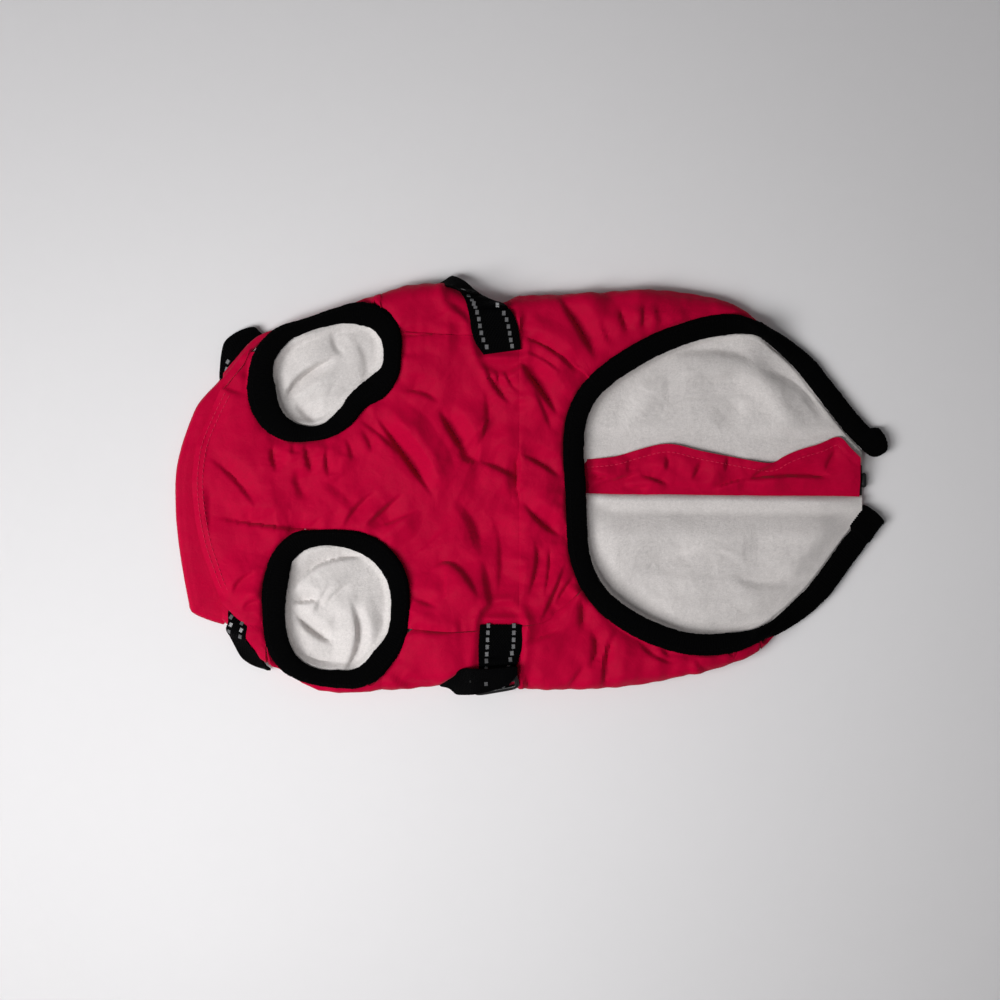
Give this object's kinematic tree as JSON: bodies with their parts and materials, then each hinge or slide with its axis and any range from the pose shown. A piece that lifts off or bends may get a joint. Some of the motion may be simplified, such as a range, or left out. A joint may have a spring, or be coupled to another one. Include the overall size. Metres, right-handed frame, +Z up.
{
  "type": "dog winter coat",
  "caption": "Padded winter coat for a dog, laid flat belly side up, with leg holes, fleece lining, bound hem and webbing straps.",
  "frame": {"origin": "on the floor below the middle of the coat's plan box", "axes": "+X from the neck to the tail, +Y to the dog's left side, +Z up through the coat to its belly side"},
  "size_m": [0.4278, 0.2534, 0.0248],
  "materials": {
    "shell": "matte",
    "fleece": "matte",
    "binding": "matte",
    "webbing": "satin",
    "hard_plastic": "satin"
  },
  "bodies": {
    "root": {"chest_panel": "shell", "belly_panel": "shell", "back_shell_left": "shell", "back_shell_right": "shell", "lining_left": "fleece", "lining_right": "fleece", "collar": "shell", "wind_flap": "shell", "zip": "webbing", "zip_stop": "hard_plastic", "armhole_binding_left": "binding", "armhole_binding_right": "binding", "hem_binding": "binding", "girth_strap_left": "webbing", "girth_strap_right": "webbing", "strap_slider": "hard_plastic", "strap_tail": "webbing", "neck_strap_left": "webbing", "neck_strap_right": "webbing"}
  },
  "joints": []
}
